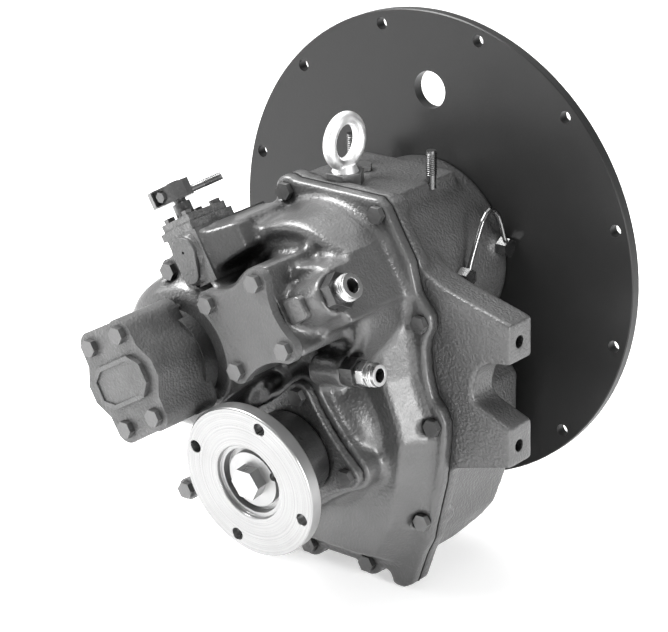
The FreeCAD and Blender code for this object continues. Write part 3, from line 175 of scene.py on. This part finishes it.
def vector_step(tree, operation, first, second=None):
    """One step of vector sums, with a fixed vector or another node's output as its second term."""
    node = tree.nodes.new("ShaderNodeVectorMath")
    node.operation = operation
    tree.links.new(first, node.inputs[0])
    if isinstance(second, Vector):
        node.inputs[1].default_value = second
    elif second:
        tree.links.new(second, node.inputs[1])
    return node


# Materials: the level is a shade of grey from 0 to 1, and rough, coat and shine are shares too

def painted(name, level, rough, sand, coat, coat_rough=0.28, hollow_shade_level=0.35, patchy=0.08, shine=0.6,
            highlit_and_worn_edges=False):
    """Oven paint over cast or turned iron: broad colour change, painted shade in the hollows and a sand grain;
    some paints also get lighter edges, part painted highlight and part worn paint.
    """
    material, tree, shader = new_material(name)
    low_level = level * (1 - 2 * patchy)
    high_level = level * (1 + 2 * patchy)
    broad = clouds(tree, 18, 4, [(0.3, low_level), (0.7, high_level)])
    # Painted shade: ambient occlusion darkens the colour in the hollows and between parts.
    shade = multiplied(tree, broad, painted_hollow_shade(tree, hollow_shade_level))
    # On some paints the outer edges get a lighter colour: part painted highlight along the edges, part worn paint.
    if highlit_and_worn_edges:
        highlight_and_wear_colour = clouds(tree, 400, 2, [(0.3, level * 2.0), (0.7, level * 2.8)])
        shade = mixed(tree, edge_highlight_and_wear(tree), shade, highlight_and_wear_colour)
    tree.links.new(shade, shader.inputs["Base Color"])
    gloss = clouds(tree, 60, 3, [(0.25, rough - 0.7 * patchy), (0.75, rough + 1.2 * patchy)])
    tree.links.new(gloss, shader.inputs["Roughness"])
    shader.inputs["Specular IOR Level"].default_value = shine
    shader.inputs["Coat Weight"].default_value = coat
    shader.inputs["Coat Roughness"].default_value = coat_rough
    grains = [(noise(tree, 420, 1), 1.2 * sand, 0.0018), (noise(tree, 900, 1), 0.6 * sand, 0.0005)]
    if sand > 0.2:
        grains.insert(0, (noise(tree, 110, 2), 0.25 * sand, 0.0012))
    bump(tree, shader, grains)
    return material


def metal(name, level, rough):
    material, tree, shader = new_material(name)
    shade = clouds(tree, 70, 4, [(0.3, level * 0.9), (0.7, level * 1.06)])
    tree.links.new(shade, shader.inputs["Base Color"])
    shader.inputs["Metallic"].default_value = 1.0
    gloss = clouds(tree, 120, 3, [(0.3, rough * 0.8), (0.7, rough * 1.2)])
    tree.links.new(gloss, shader.inputs["Roughness"])
    bump(tree, shader, [(noise(tree, 400, 2), 0.08, 0.0003)])
    return material


def turned_metal(name, level, rough, centre, way):
    """Bright turned steel: fine rings about an axis."""
    material, tree, shader = new_material(name)
    from_centre = vector_step(tree, "SUBTRACT", surface_point(tree), centre).outputs["Vector"]
    around = vector_step(tree, "CROSS_PRODUCT", from_centre, way).outputs["Vector"]
    radius = vector_step(tree, "LENGTH", around).outputs["Value"]
    rings = []
    for scale in (700, 2600):
        node = tree.nodes.new("ShaderNodeTexNoise")
        node.noise_dimensions = "1D"
        node.inputs["Scale"].default_value = scale
        node.inputs["Detail"].default_value = 2
        tree.links.new(radius, node.inputs["W"])
        rings.append(node.outputs["Fac"])
    broad_rings, fine_rings = rings
    cloud = clouds(tree, 25, 4, [(0.3, level * 0.82), (0.7, level)])
    ringed = ramp(tree, broad_rings, [(0.3, level * 0.8), (0.7, level * 1.1)])
    tree.links.new(mixed(tree, noise(tree, 40, 2), cloud, ringed), shader.inputs["Base Color"])
    shader.inputs["Metallic"].default_value = 0.9
    gloss = ramp(tree, fine_rings, [(0.3, rough * 0.75), (0.7, rough * 1.25)])
    tree.links.new(gloss, shader.inputs["Roughness"])
    bump(tree, shader, [(broad_rings, 0.12, 0.0003), (fine_rings, 0.1, 0.0001)])
    return material


cast_paint = painted("grey_paint_cast", 0.052, rough=0.42, sand=0.5, coat=0.5, coat_rough=0.26,
                     hollow_shade_level=0.06, highlit_and_worn_edges=True)
smooth_paint = painted("grey_paint_smooth", 0.052, rough=0.4, sand=0.32, coat=0.5, coat_rough=0.24,
                       hollow_shade_level=0.06, highlit_and_worn_edges=True)
pump_paint = painted("grey_paint_pump", 0.055, rough=0.45, sand=0.4, coat=0.3, coat_rough=0.32,
                     hollow_shade_level=0.15, patchy=0.16)
cover_paint = painted("grey_paint_cover", 0.06, rough=0.45, sand=0.35, coat=0.2, coat_rough=0.35)
plate_paint = painted("grey_paint_plate", 0.015, rough=0.34, sand=0.04, coat=0.0,
                      hollow_shade_level=0.6, patchy=0.02, shine=0.3)
bolt_paint = painted("bolt_paint", 0.05, rough=0.3, sand=0.15, coat=0.6)
lever_paint = painted("lever_paint", 0.04, rough=0.36, sand=0.3, coat=0.5)
black = painted("black_fitting", 0.012, rough=0.3, sand=0.2, coat=0.25)
rubber = painted("seal_rubber", 0.02, rough=0.6, sand=0.2, coat=0.0)
gasket = painted("gasket_sheet", 0.05, rough=0.6, sand=0.2, coat=0.0)
friction = painted("friction_lining", 0.16, rough=0.6, sand=0.5, coat=0.0)
stud_steel = metal("stud_steel", 0.12, 0.3)
tube_steel = metal("tube_steel", 0.22, 0.24)
zinc = metal("zinc_plate", 0.42, 0.3)
eye_zinc = metal("eye_zinc", 0.95, 0.5)
washer_steel = metal("washer_steel", 0.34, 0.36)
bolt_steel = metal("bolt_steel", 0.42, 0.3)
dark_steel = metal("dark_steel", 0.16, 0.42)
gear_steel = metal("gear_steel", 0.45, 0.3)
bearing_steel = metal("bearing_steel", 0.75, 0.2)
flange_steel = turned_metal("flange_steel", 0.34, 0.34, OUTPUT_CENTRE, OUTPUT_WAY)

look_of_slot = {
    "grey_paint": cast_paint,
    "painted_bolts": bolt_paint,
    "zinc": zinc,
    "bare_steel": stud_steel,
    "black_fitting": black,
    "lever_steel": lever_paint,
    "gear_steel": gear_steel,
    "bearing_steel": bearing_steel,
    "friction_bronze": friction,
    "seal_rubber": rubber,
    "gasket_paper": gasket,
    "strainer_mesh": dark_steel,
}
look_of_node = {
    "adapter_plate": plate_paint,
    "blanking_cover": cover_paint,
    "pump_body": pump_paint,
    "pump_end_cover": pump_paint,
    "output_flange": flange_steel,
    "valve_body": smooth_paint,
    "flange_washer": washer_steel,
    "flange_bolt": bolt_steel,
    "lifting_eye": eye_zinc,
    "lever_rod": dark_steel,
    "oil_tube": tube_steel,
    "tube_fittings": tube_steel,
    "valve_stem": lever_paint,
}
slot_of = {part["node"]: part["material_slot"] for part in record["subparts"]}
for name, node in nodes.items():
    node.data.materials.clear()
    node.data.materials.append(look_of_node.get(name, look_of_slot[slot_of[name]]))


# Meshes and pieces. Lengths are in metres, except points of the layout and the pads' outlines and depths

WELD = 0.00001


def mesh_of(name, shape):
    """A mesh made from a bmesh, which is freed."""
    mesh = bpy.data.meshes.new(name)
    shape.to_mesh(mesh)
    shape.free()
    return mesh


def placed(name, data):
    """A new object in the scene."""
    piece = bpy.data.objects.new(name, data)
    bpy.context.collection.objects.link(piece)
    return piece


def settle(piece):
    """Turns what the modifiers show into the piece's own mesh."""
    graph = bpy.context.evaluated_depsgraph_get()
    mesh = bpy.data.meshes.new_from_object(piece.evaluated_get(graph))
    piece.modifiers.clear()
    old = piece.data
    piece.data = mesh
    bpy.data.meshes.remove(old)


# Castings: the solids with cast fillets in their hollows, soft edges and uneven skin

uneven_skin = bpy.data.textures.new("uneven_skin", "CLOUDS")
uneven_skin.noise_scale = 0.009
uneven_skin.noise_depth = 1


def remesh(piece, voxel):
    step = piece.modifiers.new("skin", "REMESH")
    step.mode = "VOXEL"
    step.voxel_size = voxel


def swell(piece, distance):
    step = piece.modifiers.new("swell", "DISPLACE")
    step.direction = "NORMAL"
    step.mid_level = 0
    step.strength = distance


def web(points, radius):
    """A closed form stretched round balls of one radius, for a web or a wall."""
    shape = bmesh.new()
    for point in points:
        bmesh.ops.create_icosphere(shape, subdivisions=2, radius=radius, matrix=Matrix.Translation(point))
    bmesh.ops.delete(shape, geom=shape.edges[:], context="EDGES_FACES")
    hull = bmesh.ops.convex_hull(shape, input=shape.verts[:])
    inner = [item for item in hull["geom_interior"] if isinstance(item, bmesh.types.BMVert)]
    bmesh.ops.delete(shape, geom=inner, context="VERTS")
    return mesh_of("web", shape)


def core(name, inset):
    """A node's shape, drawn in by a small inset, to blend a crisp piece into a casting."""
    shape = bmesh.new()
    shape.from_mesh(nodes[name].data)
    bmesh.ops.remove_doubles(shape, verts=shape.verts, dist=WELD)
    shape.normal_update()
    for corner in shape.verts:
        corner.co -= corner.normal * inset
    return mesh_of("core", shape)


def casting(name, members, look, webs=(), voxel=0.0016, fillet=0.004, soften=4, uneven=0.0003):
    """A casting over some nodes, blended with its webs; swelling and shrinking leaves the fillets."""
    shape = bmesh.new()
    for member in members:
        shape.from_mesh(nodes[member].data)
    for mesh in webs:
        shape.from_mesh(mesh)
    piece = placed(name, mesh_of(name, shape))
    remesh(piece, voxel)
    if fillet:
        swell(piece, fillet)
        remesh(piece, voxel)
        swell(piece, -fillet)
        remesh(piece, voxel)
    soft = piece.modifiers.new("soft", "SMOOTH")
    soft.factor = 0.5
    soft.iterations = soften
    rough = piece.modifiers.new("uneven", "DISPLACE")
    rough.texture = uneven_skin
    rough.texture_coords = "LOCAL"
    rough.direction = "NORMAL"
    rough.mid_level = 0.5
    rough.strength = uneven
    settle(piece)
    for face in piece.data.polygons:
        face.use_smooth = True
    piece.data.materials.clear()
    piece.data.materials.append(look)
    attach(piece, "housing")
    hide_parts(*members)
    return piece


# The slanted web from the control valve's block to the rear cover
WEB_RADIUS = 0.003
valve_web = web([
    laid(across, back, up)
    for across, end, ups in ((-33, 221, (54, 81)), (-8, 204, (59, 77)))
    for back in (190, end)
    for up in ups
], WEB_RADIUS)

# The wall below the countershaft's dome
LOW_WALL_BACK = 183
low_wall = web([
    laid(across, LOW_WALL_BACK, up)
    for across, ups in ((-101, (-57, -45)), (-74, (-53, -41)))
    for up in ups
], WEB_RADIUS)

# The curved wall over the input bearing, between the dome and the square boss, in millimetres and degrees
BEARING_WALL = 39.3
BEARING_WALL_BACK = (188, 216)
WALL_STEP = 16
bearing_walls = []
for first in range(50, 130, WALL_STEP):
    turns = [math.radians(angle) for angle in (first, first + WALL_STEP)]
    bearing_walls.append(web([
        laid(BEARING_WALL * math.cos(turn), back, BEARING_WALL * math.sin(turn))
        for turn in turns
        for back in BEARING_WALL_BACK
    ], radius=0.0026))

casting("rear_casting", ["rear_cover"], smooth_paint,
        [valve_web, low_wall, core("valve_body", inset=0.0004)] + bearing_walls)
housing_casting = casting("housing_casting", ["main_housing"], cast_paint)
casting("retainer_casting", ["bearing_retainer"], cast_paint,
        voxel=0.0011, fillet=0, soften=3, uneven=0.0002)


def drill(piece, holes):
    """Opens round holes: each a mouth, a way in, a radius and a depth."""
    over = 0.001
    shape = bmesh.new()
    for mouth, way, radius, depth in holes:
        turn = way.to_track_quat("Z", "Y").to_matrix().to_4x4()
        centre = mouth + way * (depth / 2 - over)
        bmesh.ops.create_cone(shape, cap_ends=True, segments=40, radius1=radius, radius2=radius,
                              depth=depth + 2 * over, matrix=Matrix.Translation(centre) @ turn)
    cutter = placed("drill", mesh_of("drill", shape))
    step = piece.modifiers.new("drill", "BOOLEAN")
    step.operation = "DIFFERENCE"
    step.solver = "EXACT"
    step.object = cutter
    settle(piece)
    bpy.data.objects.remove(cutter)


# The bolt holes of the side pads; on the left the clutch leaves less depth
PAD_DEPTH = {"right_pad_holes": 0.027, "left_pad_holes": 0.017}
pad_holes = []
for mount in record["mounts"]:
    if mount["name"] in PAD_DEPTH:
        half = mount["dims"]["spacing_y_mm"] / 2 * MM
        radius = mount["dims"]["hole_r_mm"] * MM
        way = -Vector(mount["axis"])
        for rise in (-half, half):
            mouth = Vector(mount["pos_m"]) + Vector((0, 0, rise))
            pad_holes.append((mouth, way, radius, PAD_DEPTH[mount["name"]]))
drill(housing_casting, pad_holes)


# Flat cast pads with crisp edges, on the rear cover

def round_hull(circles):
    """The outline stretched round circles, each a centre across and up and a radius, in millimetres."""
    corners = 28
    shape = bmesh.new()
    for across, up, radius in circles:
        for step in range(corners):
            angle = 2 * math.pi * step / corners
            shape.verts.new((across + radius * math.cos(angle), up + radius * math.sin(angle), 0))
    found = bmesh.ops.convex_hull(shape, input=shape.verts[:])
    inner = set(found["geom_interior"])
    rim = [corner.co.copy() for corner in shape.verts if corner not in inner and corner.link_edges]
    shape.free()
    middle = sum(rim, Vector()) / len(rim)
    rim.sort(key=lambda point: math.atan2(point.y - middle.y, point.x - middle.x))
    return [(point.x, point.y) for point in rim]


def pad(name, outline, start, end, look, edge):
    """A flat pad with a given outline in the leaning layout, from one depth to another."""
    shape = bmesh.new()
    near = [shape.verts.new(laid(across, start, up)) for across, up in outline]
    far = [shape.verts.new(laid(across, end, up)) for across, up in outline]
    shape.faces.new(near)
    shape.faces.new(far)
    for first in range(len(outline)):
        second = (first + 1) % len(outline)
        shape.faces.new((near[first], near[second], far[second], far[first]))
    bmesh.ops.recalc_face_normals(shape, faces=shape.faces)
    piece = placed(name, mesh_of(name, shape))
    step = piece.modifiers.new("edge", "BEVEL")
    step.width = edge
    step.segments = 3
    step.limit_method = "ANGLE"
    step.angle_limit = math.radians(50)
    settle(piece)
    for face in piece.data.polygons:
        face.use_smooth = len(face.vertices) < 5
    piece.data.materials.append(look)
    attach(piece, "housing")
    return piece


# The keyhole-shaped face on the control valve's block, with a small hole in its round end
VALVE_FACE = [(-48, 74, 12.6), (-50.5, 57, 9.1)]
VALVE_FACE_BACK = 230.8
valve_face = pad("valve_face", round_hull(VALVE_FACE), 227, VALVE_FACE_BACK, cover_paint, edge=0.0006)
drill(valve_face, [(laid(-48, VALVE_FACE_BACK, 74), -BACK, 0.0012, 0.003)])

# The flat pad beside the upper port
SIDE_PAD = [(38, 5, 2), (38, -12, 2), (50, 1, 5), (50, -8, 5)]
pad("side_pad", round_hull(SIDE_PAD), 222, 237, smooth_paint, edge=0.0012)


# Machined and bought pieces keep their solids, with broken edges

def broken_edges(name, width):
    node = nodes[name]
    weld = node.modifiers.new("weld", "WELD")
    weld.merge_threshold = WELD
    edge = node.modifiers.new("edge", "BEVEL")
    edge.width = width
    edge.segments = 2
    edge.limit_method = "ANGLE"
    edge.angle_limit = math.radians(35)
    edge.use_clamp_overlap = True
    for face in node.data.polygons:
        face.use_smooth = True
    flat = node.modifiers.new("flat", "WEIGHTED_NORMAL")
    flat.keep_sharp = False


EDGES = {
    "blanking_cover": 0.0008,
    "pump_body": 0.001,
    "pump_end_cover": 0.0008,
    "valve_body": 0.0012,
    "valve_lower_plate": 0.0005,
    "valve_top_plate": 0.0005,
    "control_lever": 0.0012,
    "strainer_cover": 0.0012,
    "output_flange": 0.0006,
    "flange_washer": 0.0005,
}
BOLT_EDGE = 0.0004
BOLTS = ("painted_bolts", "zinc", "black_fitting")
for name in nodes:
    if name in EDGES:
        broken_edges(name, EDGES[name])
    elif slot_of[name] in BOLTS and name != "lifting_eye":
        broken_edges(name, BOLT_EDGE)

# The flange hub is black, behind its bright disc
FLANGE_REACH = 170.77 * MM
FLANGE_THICK = 12.5 * MM
flange = nodes["output_flange"].data
hub_look = len(flange.materials)
flange.materials.append(black)
for face in flange.polygons:
    along = (face.center - OUTPUT_CENTRE).dot(OUTPUT_WAY)
    if along < FLANGE_REACH - FLANGE_THICK - 1 * MM:
        face.material_index = hub_look


# Screw threads: a ridge's height is a share of the pitch, and a share of the height lies in the shank

COLUMNS = 36
ROWS_PER_TURN = 8
RIDGE = 0.6
SUNK = 0.35


def thread(name, body, look, start, way, radius, pitch, length):
    """A threaded sleeve on a round shank: its ridges wind round the axis and fade at both ends."""
    way = Vector(way).normalized()
    side = way.orthogonal().normalized()
    other = way.cross(side)
    rows = max(int(length / pitch * ROWS_PER_TURN), ROWS_PER_TURN)
    height = RIDGE * pitch
    shape = bmesh.new()

    def ring(along, reach):
        """A ring of corners at one place along the axis, each at its own distance from it."""
        corners = []
        for column, out in enumerate(reach):
            angle = 2 * math.pi * column / COLUMNS
            around = side * math.cos(angle) + other * math.sin(angle)
            corners.append(shape.verts.new(start + way * along + around * out))
        return corners

    inside = [radius - height] * COLUMNS
    rings = [ring(0, inside)]
    for row in range(rows + 1):
        along = length * row / rows
        fade = min(along, length - along) / pitch
        reach = []
        for column in range(COLUMNS):
            phase = (along / pitch - column / COLUMNS) % 1.0
            ridge = 1 - abs(2 * phase - 1)
            reach.append(radius + height * (ridge * min(fade, 1.0) - SUNK))
        rings.append(ring(along, reach))
    rings.append(ring(length, inside))
    rings.append(rings[0])
    for first, second in zip(rings, rings[1:]):
        for column in range(COLUMNS):
            after = (column + 1) % COLUMNS
            shape.faces.new((first[column], first[after], second[after], second[column]))
    bmesh.ops.recalc_face_normals(shape, faces=shape.faces)
    piece = placed(name, mesh_of(name, shape))
    piece.data.materials.append(look)
    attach(piece, body)


STUD_RADIUS = 0.004
STUD_THREAD = 0.0215
STUD_TIP = 0.0005
stud_low, stud_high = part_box("top_studs")
for side, x in (("left", stud_low.x + STUD_RADIUS), ("right", stud_high.x - STUD_RADIUS)):
    foot = Vector((x, stud_low.y + STUD_RADIUS, stud_high.z - STUD_THREAD - STUD_TIP))
    thread(side + "_stud_thread", "housing", stud_steel, foot, (0, 0, 1),
           radius=STUD_RADIUS, pitch=0.0017, length=STUD_THREAD)

PORT_PITCH = 0.0021
UPPER_PORT = laid(83, 215, -4)
thread("upper_port_thread", "housing", zinc, UPPER_PORT, ACROSS,
       radius=0.0104, pitch=PORT_PITCH, length=0.0078)

LOW_PORT = Vector((0.024, -0.1907, -0.047))
LOW_PORT_ANGLE = math.radians(82)
LOW_WAY = Vector((math.sin(LOW_PORT_ANGLE), 0, math.cos(LOW_PORT_ANGLE)))
thread("lower_port_thread", "housing", zinc, LOW_PORT + LOW_WAY * 0.054, LOW_WAY,
       radius=0.009, pitch=PORT_PITCH, length=0.0085)

ROD_FOOT = laid(-40.8, 199.3, 119)
ROD_WAY = Vector((0.612, 0.707, 0.354))
thread("rod_thread", "lever_set", dark_steel, ROD_FOOT + ROD_WAY * 0.009, ROD_WAY,
       radius=0.003, pitch=0.0015, length=0.0165)

# Floor: plain and pale, just below the part
FLOOR_HALF = 6
FLOOR_GAP = 0.0005
floor_level = cad_low[2] - FLOOR_GAP
floor_shape = bmesh.new()
for x, y in ((-1, -1), (1, -1), (1, 1), (-1, 1)):
    floor_shape.verts.new((x * FLOOR_HALF, y * FLOOR_HALF, floor_level))
floor_shape.faces.new(floor_shape.verts)
floor = placed("floor", mesh_of("floor", floor_shape))
floor_look, _, floor_shader = new_material("pale_floor")
floor_shader.inputs["Base Color"].default_value = (0.9, 0.9, 0.9, 1)
floor_shader.inputs["Roughness"].default_value = 0.8
floor_shader.inputs["Emission Color"].default_value = (1, 1, 1, 1)
floor_shader.inputs["Emission Strength"].default_value = 0.5
floor.data.materials.append(floor_look)

# Light: a pale horizon under a darker sky, with soft lamps
world = bpy.data.worlds.new("studio")
bpy.context.scene.world = world
world.use_nodes = True
sky = world.node_tree
sky_parts = sky.nodes.new("ShaderNodeSeparateXYZ")
sky_way = sky.nodes.new("ShaderNodeTexCoord").outputs["Generated"]
sky.links.new(sky_way, sky_parts.inputs["Vector"])
sky_shade = ramp(sky, sky_parts.outputs["Z"], [(0.1, 0.9), (0.4, 0.22)])
sky.links.new(sky_shade, sky.nodes["Background"].inputs["Color"])
sky.nodes["Background"].inputs["Strength"].default_value = 1


def soft_light(name, place, target, size, power):
    data = bpy.data.lights.new(name, "AREA")
    data.shape = "RECTANGLE"
    data.size, data.size_y = size
    data.energy = power
    lamp = placed(name, data)
    lamp.location = place
    way = Vector(target) - Vector(place)
    lamp.rotation_euler = way.to_track_quat("-Z", "Y").to_euler()


soft_light("top_light", (-0.85, -0.7, 1.35), (0, -0.1, 0), size=(0.9, 0.9), power=66)
soft_light("left_light", (-1.5, -1.2, 0.6), (0, -0.1, -0.05), size=(0.3, 1.0), power=12)
soft_light("right_light", (1.9, -0.6, 0.2), (0, -0.1, 0), size=(0.5, 1.0), power=34)
soft_light("floor_light", (-0.8, 1.0, 3.0), (-0.8, 1.0, 0), size=(4.0, 4.0), power=110)

# Camera: the photograph's place and way of looking
CAMERA_PLACE = (1.3237, -1.7439, 0.7637)
CAMERA_RIGHT = (0.7761, 0.6302, -0.0207)
CAMERA_UP = (-0.2082, 0.2871, 0.9350)
CAMERA_BACK = (0.5952, -0.7214, 0.3541)
camera = placed("camera", bpy.data.cameras.new("camera"))
camera_turn = Matrix((CAMERA_RIGHT, CAMERA_UP, CAMERA_BACK)).transposed().to_4x4()
camera.matrix_world = Matrix.Translation(CAMERA_PLACE) @ camera_turn
camera.data.sensor_width = 36
camera.data.lens = 148.24
camera.data.clip_start = 0.05
bpy.context.scene.camera = camera
bpy.context.scene.view_settings.view_transform = "Standard"
